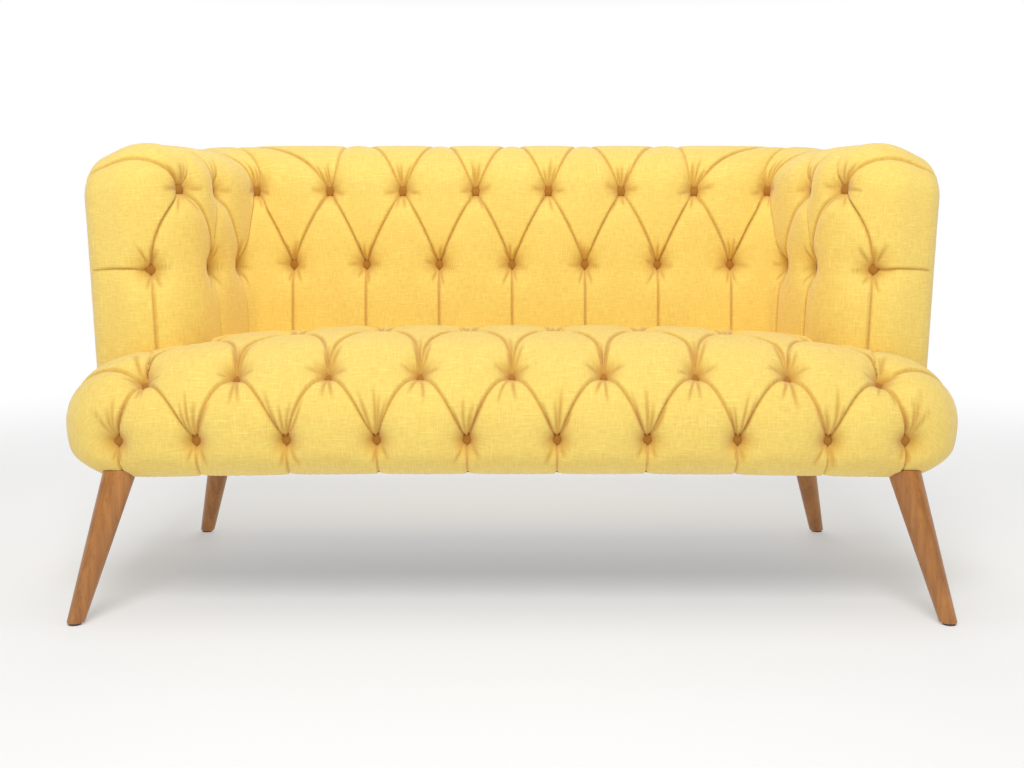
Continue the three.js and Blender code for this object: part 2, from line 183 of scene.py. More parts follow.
class Quilt:
    """A cover sewn from four-cornered patches whose sides are pleats or plain cloth."""

    crowding = 0.38  # how much closer the mesh steps lie near a patch's sides

    def __init__(self, slab, count):
        self.slab, self.count = slab, count
        t = np.linspace(0.0, 1.0, count + 1)
        self.steps = t - self.crowding * np.sin(2 * math.pi * t) / (2 * math.pi)
        self.courses, self.pleats, self.flat, self.faces = {}, [], [], []

    def keep(self, course):
        """Remembers the course of a side."""
        a, b = name_of(course[0]), name_of(course[-1])
        self.courses[a, b], self.courses[b, a] = course, course[::-1]
        return course

    def side(self, a, b):
        """The course from a to b: the one remembered, or else straight."""
        known = self.courses.get((name_of(a), name_of(b)))
        return a + (b - a) * self.steps[:, None] if known is None else known

    def pleat(self, a, b, bow=0.0, depth=1.0):
        """Folds a pleat from a to b, bowed to its left by a share of its length."""
        across = np.array([a[1] - b[1], b[0] - a[0]])
        t = self.steps[:, None]
        self.pleats.append((self.keep(a + (b - a) * t + across * 4 * bow * t * (1 - t)), depth))

    def arch(self, a, b, bow=0.0, depth=1.0):
        """A pleat whose higher lip is the rear or upper one, bowed to the left of a to b."""
        if (b[0] > a[0]) == (self.slab.facing < 0):
            a, b, bow = b, a, -bow
        self.pleat(a, b, bow, depth)

    def hem(self, turn_a, turn_b, past):
        """Remembers a side that runs round the slab's edge, and gives its two ends."""
        course = self.slab.ring(turn_a + (turn_b - turn_a) * self.steps, past)
        self.keep(course)
        return course[0], course[-1]

    def fill(self, a, b, c, d, rows=None):
        """Adds the patch with these corners in turn. A strip with few rows has straight ends."""
        v = self.steps if rows is None else np.linspace(0.0, 1.0, rows + 1)
        bottom, top = self.side(a, b), self.side(d, c)
        if rows is None:
            left, right = self.side(a, d), self.side(b, c)
        else:
            left, right = a + (d - a) * v[:, None], b + (c - b) * v[:, None]
        u, v = self.steps[None, :, None], v[:, None, None]
        blend = ((1 - v) * bottom[None] + v * top[None]
                 + (1 - u) * left[:, None] + u * right[:, None]
                 - (1 - u) * (1 - v) * a - u * (1 - v) * b - (1 - u) * v * d - u * v * c)
        start = sum(len(f) for f in self.flat)
        wide, high = self.count, len(left) - 1
        self.flat.append(blend.reshape(-1, 2))
        first = start + (np.arange(high)[:, None] * (wide + 1) + np.arange(wide)[None]).ravel()
        self.faces.append(np.stack([first, first + 1, first + wide + 2, first + wide + 1], 1))

    def welded(self):
        """The flat points, joined where patches meet, and the faces, turned outwards."""
        flat, faces = np.concatenate(self.flat), np.concatenate(self.faces)
        _, first, back = np.unique(np.round(flat, 6), axis=0, return_index=True,
                                   return_inverse=True)
        faces, flat = back.ravel()[faces], flat[first]
        a, b, c, d = (flat[faces[:, k]] for k in range(4))
        area = (c - a)[:, 0] * (d - b)[:, 1] - (c - a)[:, 1] * (d - b)[:, 0]
        turned = area * self.slab.facing < 0
        faces[turned] = faces[turned][:, ::-1]
        kept = []
        for face in faces[np.abs(area) > 1e-12].tolist():
            ring = [v for k, v in enumerate(face) if v != face[k - 1]]
            if len(set(ring)) == len(ring) and len(ring) > 2:
                kept.append(ring)
        return flat, kept


def point_normals(verts, faces):
    """Unit normals at the points of a mesh of triangles and quads."""
    quads = np.array([f if len(f) == 4 else f + f[-1:] for f in faces])
    area = np.cross(verts[quads[:, 2]] - verts[quads[:, 0]],
                    verts[quads[:, 3]] - verts[quads[:, 1]])
    total = np.zeros_like(verts)
    for k in range(4):
        np.add.at(total, quads[:, k], area)
    return total / np.maximum(np.linalg.norm(total, axis=1), 1e-12)[:, None]


def distance_to(points, line):
    """Each point's distance to a chain of points, and the share of its length at that place."""
    best, share = np.full(len(points), np.inf), np.zeros(len(points))
    lengths = np.linalg.norm(np.diff(line, axis=0), axis=1)
    walked = 0.0
    for a, b, size in zip(line[:-1], line[1:], lengths):
        if size > 1e-7:
            way = (b - a) / size
            t = np.clip((points - a) @ way, 0.0, size)
            gap = np.linalg.norm(points - a - t[:, None] * way, axis=1)
            closer = gap < best
            best[closer], share[closer] = gap[closer], walked + t[closer]
        walked += size
    return best, share / max(walked, 1e-9)


def near_line(points, line, reach):
    """The points inside the chain's box grown by a reach."""
    low, high = line.min(0) - reach, line.max(0) + reach
    return np.nonzero(((points > low) & (points < high)).all(1))[0]


class Tufting:
    """How far a cover stands off its slab, between its buttons, pleats and gathers."""

    button_reach = 0.021  # how quickly the padding rises round a button
    pleat_reach, pleat_share = 0.030, 0.18  # the padding's fall towards a pleat
    seam_width, seam_depth = 0.0018, 0.0046  # the pleat's own narrow groove
    lip, lip_reach = 0.0018, 0.010  # one lip of a pleat stands higher than the other
    lip_fade = 0.15  # the lips die away over this share of a pleat's length
    shade_well = 0.015  # the radius of the painted shade round a button
    seam_shade, crease_shade = 0.55, 0.70  # how much painted shade seams and creases get, beside the wells round buttons
    bank, bank_reach = 0.35, 2.6  # the raised cloth beside a crease, and its width in creases

    def __init__(self, puff):
        self.puff = puff

    def heights(self, places, flat, buttons, pleats, gathers):
        """Heights at 3-D places, and how much painted shade each gets for lying deep in a dip,
        from 0 to 1.

        Buttons are points, pleats are (line, flat line, depth), and gathers are
        (line, depth, width). A pleat's left lip is the higher one.
        """
        rise, hollow_shade = np.ones(len(places)), np.zeros(len(places))
        for button in buttons:
            gap = np.linalg.norm(places - button, axis=1)
            rise *= 1.0 - np.exp(-(gap / self.button_reach) ** 1.3)
            # Painted shade: the cloth darkens in a round well about each button.
            hollow_shade = np.maximum(hollow_shade, np.exp(-(gap / self.shade_well) ** 2))
        fold, seam, step = np.ones(len(places)), np.zeros(len(places)), np.zeros(len(places))
        for line, course, depth in pleats:
            near = near_line(places, line, self.pleat_reach)
            if len(near):
                gap, share = distance_to(places[near], thinned(line))
                x = np.clip(gap / self.pleat_reach, 0.0, 1.0)
                fold[near] *= 1.0 - self.pleat_share * depth * (1.0 - np.sqrt(x * (2.0 - x)))
                narrow = depth * np.exp(-(gap / self.seam_width) ** 2)
                seam[near] = np.maximum(seam[near], narrow)
                ends = np.clip(np.minimum(share, 1.0 - share) / self.lip_fade, 0.0, 1.0)
                side = left_of(flat[near], thinned(course))
                step[near] += side * depth * ends * np.exp(-(gap / self.lip_reach) ** 1.5)
        height = self.puff * rise * fold - self.seam_depth * seam + self.lip * step
        # Painted shade: the seams darken where their grooves are deepest.
        hollow_shade = np.maximum(hollow_shade, self.seam_shade * seam)
        for line, depth, width in gathers:
            near = near_line(places, line, 4 * width)
            if len(near):
                gap, share = distance_to(places[near], line)
                fade = np.sin(math.pi * np.clip(share * 0.80 + 0.20, 0.0, 1.0)) ** 0.8
                crease = np.exp(-(gap / width) ** 2)
                banks = self.bank * np.exp(-(gap / self.bank_reach / width) ** 2)
                height[near] -= depth * fade * (crease - banks)
                # Painted shade: the cloth darkens along each crease.
                hollow_shade[near] = np.maximum(hollow_shade[near], self.crease_shade * fade * crease)
        return height, hollow_shade


def left_of(points, line):
    """1 where a flat point lies left of a chain, -1 where it lies right, smooth between."""
    best, side = np.full(len(points), np.inf), np.zeros(len(points))
    for a, b in zip(line[:-1], line[1:]):
        way, size = b - a, np.linalg.norm(b - a)
        if size > 1e-7:
            t = np.clip((points - a) @ way / size ** 2, 0.0, 1.0)
            offset = points - a - t[:, None] * way
            gap = np.linalg.norm(offset, axis=1)
            across = (way[0] * (points - a)[:, 1] - way[1] * (points - a)[:, 0]) / size
            closer = gap < best
            best[closer] = gap[closer]
            side[closer] = np.clip(across[closer] / 0.0012, -1.0, 1.0)
    return side


def thinned(line, most=14):
    """Every few points of a line, with both its ends."""
    return line[np.unique(np.linspace(0, len(line) - 1, most).round().astype(int))]


class Cover:
    """A sewn cover stood off its slab: its points, faces and the painted shade its material
    reads.
    """

    def __init__(self, quilt, tufting, buttons, gathers, calm=None):
        slab = quilt.slab
        self.flat, self.faces = quilt.welded()
        self.base = slab.surface(self.flat)
        self.normals = point_normals(self.base, self.faces)
        pins = slab.surface(np.array(buttons))
        pleats = [(slab.surface(course), course, depth) for course, depth in quilt.pleats]
        gathers = [(slab.surface(line), depth, width) for line, depth, width in gathers]
        height, self.hollow_shade = tufting.heights(self.base, self.flat, pins, pleats, gathers)
        if calm is not None:
            height = height * calm(slab.past(self.flat))
        self.verts = self.base + self.normals * height[:, None]

    def pins(self, places, sink=0.0):
        """Where buttons sit on the cover, sunk a little, and which way they face."""
        found = []
        for flat in places:
            at = int(np.argmin(np.linalg.norm(self.flat - flat, axis=1)))
            found.append((self.base[at] - self.normals[at] * sink, self.normals[at]))
        return found

    def rim(self):
        """The open edge as a ring of points that runs against the faces."""
        edges = {(f[k - 1], f[k]) for f in self.faces for k in range(len(f))}
        after = {b: a for a, b in edges if (b, a) not in edges}
        rings = []
        while after:
            ring = [min(after)]
            while ring[-1] in after:
                ring.append(after.pop(ring[-1]))
            rings.append(ring[:-1])
        return max(rings, key=len)


GATHER_START = 0.010  # a gather starts this far from its button's middle


def fan_of_gathers(rng, place, headings, length, depth, width, spread):
    """Short creases that run out of a button, one near each heading (radians from +S)."""
    creases = []
    for heading in headings:
        angle = heading + rng.uniform(-spread, spread)
        way = np.array([math.cos(angle), math.sin(angle)])
        size = length * rng.uniform(0.65, 1.15)
        sway = rng.uniform(-0.06, 0.06) * size * np.array([-way[1], way[0]])
        t = np.linspace(0.0, 1.0, 6)[:, None]
        line = place + way * (GATHER_START + size * t) + sway * 4 * t * (1 - t)
        creases.append((line, depth * rng.uniform(0.6, 1.2), width * rng.uniform(0.8, 1.3)))
    return creases


def gathered(rng, places, fans):
    """Every fan of gathers at every place."""
    return [crease for place in places for fan in fans
            for crease in fan_of_gathers(rng, place, *fan)]


# ---- the seat deck's cover ------------------------------------------------------------------

SEAT_LOW, SEAT_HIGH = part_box("seat_pad")
SEAT_ROOM = 0.030  # the buttons' level lies this far inside the deck's solid
NOSE_OUT, NOSE_DOWN = 0.084, 0.085  # the edge's upper curve
TUCK_IN, TUCK_DOWN = 0.036, 0.0705  # and its lower curve
WAIST_HEIGHT = 0.300  # the edge is fullest at this height
UNDER_LAP = 0.034  # how far the cover runs in underneath
CAP_RISE = 0.004  # the cover's last turn under the deck
CROWN_PEAK, CROWN_FRONT, CROWN_REAR = 0.10, 0.20, 0.23  # the crown's top, and its two falls
CROWN_SIDES = (0.20, 0.70)  # where the crown dies away towards the ends
END_DROOP, DROOP_SIDES = 0.014, (0.44, 0.66)  # how much the top falls towards the ends, and where
OUTMOST = 4  # whole columns run from minus this to plus this
ARCH, FRONT_ARCH, FRONT_HOOK = 0.10, 0.05, 0.09  # how much the pleats bow
LOWER_CALM = 0.55  # how much the puff dies away below the front's buttons
HEM_CALM = np.array([-0.012, 0.006])  # it is gone between these distances round the bottom edge
BUTTON_SINK = 0.004  # the top's buttons are drawn in deeper than the front's

# Fans of gathers: headings, length, depth, width and how much each heading may stray.
SEAT_SEED, TUB_SEED = 11, 5
FRONT_FANS = (((-1.95, -1.68, -1.42, -1.15), 0.058, 0.0036, 0.0026, 0.10),
              ((1.1, 2.0), 0.026, 0.0026, 0.0034, 0.32))
TOP_FANS = (((-1.85, -1.55, -1.25), 0.045, 0.0026, 0.0034, 0.15),
            ((1.35, 1.8), 0.040, 0.0030, 0.0026, 0.20),
            ((0.0, math.pi), 0.026, 0.0022, 0.0026, 0.20))
TUB_FANS = (((1.9, 1.57, 1.25), 0.034, 0.0032, 0.0026, 0.15),
            ((-1.95, -1.2), 0.030, 0.0028, 0.0026, 0.20),
            ((0.0, math.pi), 0.024, 0.0022, 0.0026, 0.25))
TACK_FANS = (((-2.0, -1.57, -1.1), 0.045, 0.0030, 0.0028, 0.20),)


def quarter(across, down, steps=16):
    """A quarter turn that starts level: how far across and how far down."""
    angle = np.linspace(0.0, math.pi / 2, steps)
    return across * np.sin(angle), down * (1.0 - np.cos(angle))


def seat_slab(sizes):
    """The deck's slab: S runs along X and T towards the front."""
    half = SEAT_HIGH.x - SEAT_ROOM - NOSE_OUT
    limit = -SEAT_LOW.y - SEAT_ROOM - NOSE_OUT
    edge = list(zip(*quarter(NOSE_OUT, NOSE_DOWN)))
    down, back = quarter(TUCK_DOWN, TUCK_IN)
    edge += list(zip(NOSE_OUT - back, NOSE_DOWN + down))[1:]
    foot, bottom = edge[-1]
    edge += [(foot - UNDER_LAP, bottom), (foot - UNDER_LAP - 0.002, bottom - CAP_RISE)]
    top = WAIST_HEIGHT + NOSE_DOWN

    def place(s, t, down):
        rise = 1.0 - smoothstep(0.0, CROWN_FRONT, t - CROWN_PEAK)
        rise *= 1.0 - 0.8 * smoothstep(0.0, CROWN_REAR, CROWN_PEAK - t)
        rise *= 1.0 - smoothstep(*CROWN_SIDES, np.abs(s))
        droop = smoothstep(*DROOP_SIDES, np.abs(s)) * np.clip(1 - down / NOSE_DOWN, 0, 1)
        height = top + sizes.seat_crown * rise - END_DROOP * droop - down
        return np.stack([s, -t, height], axis=1)

    return Slab(half, limit, edge, place, facing=-1)


class SeatPlan:
    """Where the seat's buttons lie on its flat cover. Halves of k lie between the columns."""

    front_past = 0.150  # how far past the middle the front buttons lie
    second_row = 0.237  # T of the top's foremost buttons
    side_rows = (0.165, 0.020, -0.120)  # T of the buttons on each end
    end_top, end_front = 0.012, 0.011  # how far past the middle the outmost columns stand

    def __init__(self, slab, sizes):
        self.slab, self.sizes = slab, sizes
        self.rear = -SEAT_HIGH.y
        self.under = slab.along[-1]

    def top(self, row, k):
        """A button on the top, in rows 2 to 5 from the front."""
        s = k * self.sizes.seat_pitch
        if abs(k) > OUTMOST:
            s = math.copysign(self.slab.half + self.end_top, k)
        return np.array([s, self.second_row - (row - 2) * self.sizes.seat_row])

    def front_turn(self, k):
        """Ring coordinate of a button on the front."""
        if abs(k) > OUTMOST:
            return math.copysign(self.slab.half + self.end_front, k)
        return k * self.sizes.front_pitch

    def ring_turns(self, side):
        """Ring coordinates of the buttons on one end, front to rear."""
        return [side * self.slab.end_turn(t) for t in self.side_rows]

    def on_ring(self, turn):
        """The button at a ring coordinate."""
        return self.slab.ring(turn, self.front_past)

    def cut(self, k):
        """A place on the deck's rear cut."""
        return np.array([self.top(4 if abs(k) <= OUTMOST else 5, k)[0], self.rear])

    def buttons(self):
        """Every button that draws the cover in."""
        found = [self.top(row, k) for row in (2, 4) for k in range(-4, 5)]
        found += [self.top(row, k + 0.5) for row in (3, 5) for k in range(-5, 5)]
        return found + self.shown_ring()

    def shown_ring(self):
        """The buttons on the front and the ends."""
        turns = [self.front_turn(k + 0.5) for k in range(-5, 5)]
        turns += [t for side in (-1, 1) for t in self.ring_turns(side)]
        return [self.on_ring(t) for t in turns]

    def shown_top(self):
        """The top's buttons that can be seen in front of the back."""
        found = [self.top(row, k) for row in (2, 4) for k in range(-4, 5)]
        return found + [self.top(3, k + 0.5) for k in range(-4, 4)]


def sew_seat(plan, count):
    """Sews the deck's cover."""
    quilt = Quilt(plan.slab, count)
    top, cut = plan.top, plan.cut
    for k in range(-4, 5):
        for side in (-1, 1):
            beside = k + 0.5 * side
            shallow = 0.5 if abs(beside) > OUTMOST else 1.0
            quilt.arch(top(2, k), top(3, beside), -ARCH * side, shallow)
            quilt.arch(top(3, beside), top(4, k), ARCH * side)
            quilt.arch(top(4, k), top(5, beside), -ARCH * side)
    # The top's outer buttons, from the left rear round the front; the front corners come twice.
    chain = [top(5, -4.5), top(4, -4), top(3, -4.5), top(2, -4)]
    chain += [top(2, k) for k in range(-4, 5)]
    chain += [top(2, 4), top(3, 4.5), top(4, 4), top(5, 4.5)]
    turns = plan.ring_turns(-1)[::-1] + [plan.front_turn(k + 0.5) for k in range(-5, 5)]
    turns += plan.ring_turns(1)
    for i, turn in enumerate(turns):
        button = plan.on_ring(turn)
        quilt.pleat(button, plan.slab.ring(turn, plan.under), depth=0.8)
        on_front = abs(turn) < plan.slab.half
        quilt.arch(button, chain[i], FRONT_ARCH if on_front else 0.0)
        if name_of(chain[i]) != name_of(chain[i + 1]):
            quilt.arch(button, chain[i + 1], -FRONT_HOOK if on_front else 0.0)
        if abs(turn) > plan.front_turn(OUTMOST + 0.5):
            quilt.fill(chain[i], chain[i + 1], button, button)
    for i in range(len(turns) - 1):
        middle = (turns[i] + turns[i + 1]) / 2
        foot_a, foot_m = quilt.hem(turns[i], middle, plan.under)
        _, foot_b = quilt.hem(middle, turns[i + 1], plan.under)
        inner = chain[i + 1]
        quilt.fill(foot_a, foot_m, inner, plan.on_ring(turns[i]))
        quilt.fill(foot_m, foot_b, plan.on_ring(turns[i + 1]), inner)
    for side, turn in ((-1, turns[0]), (1, turns[-1])):
        foot, rear = quilt.hem(turn, side * plan.slab.end_turn(plan.rear), plan.under)
        inner, corner = top(5, 4.5 * side), cut(4.5 * side)
        quilt.fill(foot, rear, inner, plan.on_ring(turn))
        quilt.fill(rear, corner, inner, inner)
    for k in range(-4, 4):
        front = plan.on_ring(plan.front_turn(k + 0.5))
        quilt.fill(front, top(2, k + 1), top(3, k + 0.5), top(2, k))
        quilt.fill(top(3, k + 0.5), top(4, k + 1), top(5, k + 0.5), top(4, k))
    for k in range(-4, 5):
        quilt.fill(top(2, k), top(3, k + 0.5), top(4, k), top(3, k - 0.5))
        for step in (-0.5, 0.5):
            quilt.fill(cut(k), cut(k + step), top(5, k + step), top(4, k))
    return quilt


def seat_gathers(plan):
    """Creases that run out of the seat's buttons."""
    rng = np.random.default_rng(SEAT_SEED)
    front = [plan.on_ring(plan.front_turn(k + 0.5)) for k in range(-5, 5)]
    top = [plan.top(row, k + (0.5 if row == 3 else 0.0)) for row in (2, 3, 4)
           for k in range(-4, 5)]
    return gathered(rng, front, FRONT_FANS) + gathered(rng, top, TOP_FANS)


def seat_calm(plan):
    """How much of the puff is left at a distance past the deck's middle."""
    bottom = plan.slab.along[-3]

    def calm(past):
        lower = smoothstep(plan.front_past + 0.01, bottom - 0.01, past)
        return (1.0 - LOWER_CALM * lower) * (1.0 - smoothstep(*(bottom + HEM_CALM), past))

    return calm


# ---- the tub's cover ------------------------------------------------------------------------

BACK_LOW, BACK_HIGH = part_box("back_pad")
ARM_LOW, ARM_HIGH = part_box("arm_pad_right")
TUB_THICK = 0.160  # the slab's nominal thickness, which its inner and outer plans vary
FRONT_ROLL, ROLL_DEEP = 0.055, 0.072  # the inner edge's curve, out and back
OUTER_ROLL, HEM_LAP = 0.034, 0.020  # the outer edge's radius, and the hem below it
INNER_Y, INNER_CORNER = BACK_LOW.y + 0.020, 0.060  # the back's buttons, and the inner corners
ARM_REAR_X, ARM_FLARE = ARM_LOW.x - 0.009, 0.30  # the arms open towards the front
OUTER_Y, OUTER_X, OUTER_CORNER = BACK_HIGH.y, ARM_HIGH.x + 0.0030, 0.014
ARM_FACE_Y = ARM_LOW.y + 0.022  # the arms' fronts, without their puff
TUB_TOP, TUB_FOOT = BACK_HIGH.z - 0.024, 0.333
LEAN_FROM, BACK_LEAN, ARM_LEAN = 0.540, 0.075, 0.032  # both lean outwards about this height
ARM_TOP_FALL, FALL_HEIGHTS = 0.022, (0.60, 0.70)  # the arms' tops fall towards their outsides
FAN_FROM, FAN_OVER = 0.20, 0.16  # where the outer plan draws ahead of the inner one, and back
ARM_FROM = 0.40  # where the back starts to take on the arms' lean and fall
ARM_BOW, BACK_BOW, TACK_BOW = 0.10, 0.03, 0.06  # how much the tub's pleats bow
EDGE_CALM, CALM_OVER = 0.75, 0.07  # how much the puff dies away at the outer edge, and how far
TACK_GAP = 0.012  # the top edge's gathers start this far in front of their tacks
HEM_ROWS = 8  # mesh rows down the outer hem
PADDING = 0.010  # the thickness of the cover and its wadding


class TubPath:
    """The tub's inner and outer plans, matched along the inner one from the back's middle."""

    def __init__(self):
        swing = math.pi / 2 - ARM_FLARE
        arc = ARM_REAR_X - INNER_CORNER * math.sin(swing)
        arm = arc + INNER_CORNER * swing
        rear_y = INNER_Y - INNER_CORNER * (1 - math.cos(swing))
        self.end = arm + (rear_y - ARM_FACE_Y) / math.cos(ARM_FLARE)
        s = self.s = np.linspace(0.0, self.end + 0.01, 600)
        angle = np.clip((s - arc) / INNER_CORNER, 0.0, swing)
        along = np.maximum(s - arm, 0.0)
        down_arm = along * math.cos(ARM_FLARE)
        self.inner = np.stack([np.minimum(s, arc) + INNER_CORNER * np.sin(angle)
                               + along * math.sin(ARM_FLARE),
                               INNER_Y - INNER_CORNER * (1 - np.cos(angle)) - down_arm], 1)
        outer_angle = angle / swing * math.pi / 2
        fan_x = (OUTER_X - OUTER_CORNER - arc) * smoothstep(FAN_FROM, arc, s)
        fan_y = (OUTER_Y - OUTER_CORNER - rear_y) * smoothstep(arm, arm + FAN_OVER, s)
        self.outer = np.stack([np.minimum(s, arc) + fan_x + OUTER_CORNER * np.sin(outer_angle),
                               OUTER_Y - OUTER_CORNER * (1 - np.cos(outer_angle))
                               - down_arm - fan_y], 1)
        self.on_arm = smoothstep(ARM_FROM, arm, s)
        self.on_back = 1.0 - smoothstep(arc, arm + 0.06, s)

    def place(self, s, t, down):
        """Places (S, T, down) in the sofa; T is the height."""
        along, share = np.abs(s), down / TUB_THICK

        def look(column):
            return np.interp(along, self.s, column)

        x = look(self.inner[:, 0]) * (1 - share) + look(self.outer[:, 0]) * share
        y = look(self.inner[:, 1]) * (1 - share) + look(self.outer[:, 1]) * share
        rise = t - LEAN_FROM
        x = x + ARM_LEAN * rise * look(self.on_arm)
        y = y + BACK_LEAN * rise * look(self.on_back) * (1 - share)
        z = t - ARM_TOP_FALL * look(self.on_arm) * share * smoothstep(*FALL_HEIGHTS, t)
        return np.stack([np.where(s < 0, -x, x), y, z], axis=1)


def tub_slab():
    """The tub's slab: S runs along its inner face from the back's middle, and T is height."""
    path = TubPath()
    edge = list(zip(*quarter(FRONT_ROLL, ROLL_DEEP)))
    flat_to = TUB_THICK - OUTER_ROLL
    edge += [(FRONT_ROLL, d) for d in np.linspace(ROLL_DEEP, flat_to, 6)[1:]]
    down, back = quarter(OUTER_ROLL, OUTER_ROLL, 8)
    edge += list(zip(FRONT_ROLL - back, flat_to + down))[1:]
    edge.append((FRONT_ROLL - OUTER_ROLL - HEM_LAP, TUB_THICK))
    return Slab(path.end - FRONT_ROLL, TUB_TOP - FRONT_ROLL, edge, path.place, facing=1)


class TubPlan:
    """Where the tub's buttons and tacks lie on its flat cover."""

    tack_past = 0.168  # how far past the face the pleats are tacked
    face_button = 0.072  # the arm fronts' lower buttons
    edge_button = 0.018  # and the upper ones
    arm_columns = {5: 0.632, 4.5: 0.595}  # where the buttons inside the arms stand

    def __init__(self, slab, sizes):
        self.slab, self.sizes = slab, sizes
        self.hem_past = slab.along[-1]
        self.mitre = slab.half + slab.corner / 2
        self.tack_turn = slab.end_turn(sizes.lower_row)
        self.foot_turn = slab.end_turn(TUB_FOOT)

    def column(self, k):
        """Where column k stands along the tub."""
        return math.copysign(self.arm_columns.get(abs(k), abs(k) * self.sizes.tub_pitch), k)

    def lower(self, k):
        """A button of the lower row."""
        s = self.column(k)
        if abs(k) > 5:
            s = math.copysign(self.slab.half + self.face_button, k)
        return np.array([s, self.sizes.lower_row])

    def upper(self, k):
        """A button of the upper row, at half columns."""
        s = self.column(k)
        if abs(k) > 5:
            s = math.copysign(self.slab.half + self.edge_button, k)
        return np.array([s, self.sizes.upper_row])

    def tack(self, turn):
        """A tack behind the top edge."""
        return self.slab.ring(turn, self.tack_past)

    def foot(self, k):
        """The bottom of the cover under column k."""
        whole = (self.lower(math.floor(k))[0] + self.lower(math.ceil(k))[0]) / 2
        return np.array([whole, TUB_FOOT])

    def buttons(self):
        """Every button of the tub."""
        return ([self.lower(k) for k in range(-6, 7)]
                + [self.upper(k + 0.5) for k in range(-6, 6)])


def sew_tub(plan, count):
    """Sews the tub's cover."""
    quilt = Quilt(plan.slab, count)
    lower, upper, foot, column = plan.lower, plan.upper, plan.foot, plan.column
    for k in range(-6, 7):
        quilt.arch(lower(k), foot(k), depth=0.85)
        for side in (-1, 1):
            pin = upper(min(max(k + 0.5 * side, -5.5), 5.5))
            if abs(k + 0.5 * side) < 6:
                quilt.arch(lower(k), pin, (ARM_BOW if abs(k) > 4 else BACK_BOW) * side)
                if abs(k) < 6:
                    quilt.arch(plan.tack(column(k)), pin, -TACK_BOW * side, depth=0.8)
    # The top edge in strips, each above an upper button or running on round an arm's front.
    strips = [(column(k), column(k + 1), k + 0.5) for k in range(-5, 5)]
    for k in range(-5, 6):
        quilt.fill(lower(k), upper(k + 0.5), plan.tack(column(k)), upper(k - 0.5))
    for k in range(-6, 6):
        middle = foot(k + 0.5)
        quilt.fill(foot(k), middle, upper(k + 0.5), lower(k))
        quilt.fill(middle, foot(k + 1), lower(k + 1), upper(k + 0.5))
    for side in (-1, 1):
        last, mitre, tack, end = (side * column(5), side * plan.mitre, side * plan.tack_turn,
                                  side * plan.foot_turn)
        quilt.arch(lower(6 * side), plan.tack(tack), 0.03 * side, depth=0.9)
        quilt.arch(upper(5.5 * side), plan.tack(mitre), 0.05 * side, depth=0.8)
        for turns in ((last, mitre), (mitre, tack), (tack, end)):
            strips.append((*turns, None))
            quilt.hem(*turns, plan.tack_past)
        quilt.fill(foot(6 * side), lower(6 * side), plan.tack(tack), plan.tack(end))
        quilt.fill(lower(6 * side), upper(5.5 * side), plan.tack(mitre), plan.tack(tack))
        quilt.fill(plan.tack(last), plan.tack(mitre), upper(5.5 * side), upper(5.5 * side))
    for a, b, between in strips:
        quilt.hem(a, b, plan.tack_past)
        if between is not None:
            quilt.fill(plan.tack(a), plan.tack(b), upper(between), upper(between))
        start, end = quilt.hem(a, b, plan.hem_past)
        quilt.fill(plan.tack(a), plan.tack(b), end, start, rows=HEM_ROWS)
    return quilt


def tub_gathers(plan):
    """Creases that run out of the tub's buttons and tacks."""
    rng = np.random.default_rng(TUB_SEED)
    tacks = [plan.tack(plan.column(k)) - np.array([0.0, TACK_GAP]) for k in range(-5, 6)]
    return gathered(rng, plan.buttons(), TUB_FANS) + gathered(rng, tacks, TACK_FANS)


def tub_calm(plan):
    """How much of the puff is left at a distance past the tub's inner face."""
    turn = plan.slab.along[-2]

    def calm(past):
        return 1.0 - EDGE_CALM * smoothstep(plan.tack_past - CALM_OVER, turn, past)

    return calm


# ---- the outside panels, buttons and legs ---------------------------------------------------

PANEL_CROWN, PANEL_THICK, PANEL_STEPS = 0.003, 0.006, (40, 28)
PANEL_TUCK, PANEL_INSET = 0.004, 0.001  # the panels lie this far inside the tub's outer faces
PANEL_UNDER, PANEL_LAP = 0.022, 0.034  # they end under the tub's roll and inside the deck's nose


def panel_mesh(corners, outwards):
    """A closed cloth-covered panel between four corners, crowned outwards."""
    a, b, c, d = (np.array(p) for p in corners)
    out = np.array(outwards, float)
    u, v = (np.linspace(0.0, 1.0, n + 1) for n in PANEL_STEPS)
    grid_u, grid_v = (g.ravel()[:, None] for g in np.meshgrid(u, v))
    flat = ((a * (1 - grid_u) + b * grid_u) * (1 - grid_v)
            + (d * (1 - grid_u) + c * grid_u) * grid_v)
    bulge = (1 - (2 * grid_u - 1) ** 6) * (1 - (2 * grid_v - 1) ** 6)
    face = flat + out * PANEL_CROWN * (0.15 + 0.85 * bulge)
    back = flat - out * PANEL_THICK
    wide, high = PANEL_STEPS
    first = (np.arange(high)[:, None] * (wide + 1) + np.arange(wide)[None]).ravel()
    quads = np.stack([first, first + 1, first + wide + 2, first + wide + 1], 1)
    half = len(flat)
    faces = quads.tolist() + (quads[:, ::-1] + half).tolist()
    bottom = list(range(wide + 1))
    right = [wide + k * (wide + 1) for k in range(high + 1)]
    top = [half - 1 - k for k in range(wide + 1)]
    left = [high * (wide + 1) - k * (wide + 1) for k in range(high + 1)]
    ring = bottom[:-1] + right[:-1] + top[:-1] + left[:-1]
    for i, j in zip(ring, ring[1:] + ring[:1]):
        faces.append([j, i, i + half, j + half])
    size_u, size_v = np.linalg.norm(b - a), np.linalg.norm(d - a)
    cloth = np.concatenate([np.hstack([grid_u * size_u, grid_v * size_v])] * 2)
    return np.concatenate([face, back]), faces, cloth


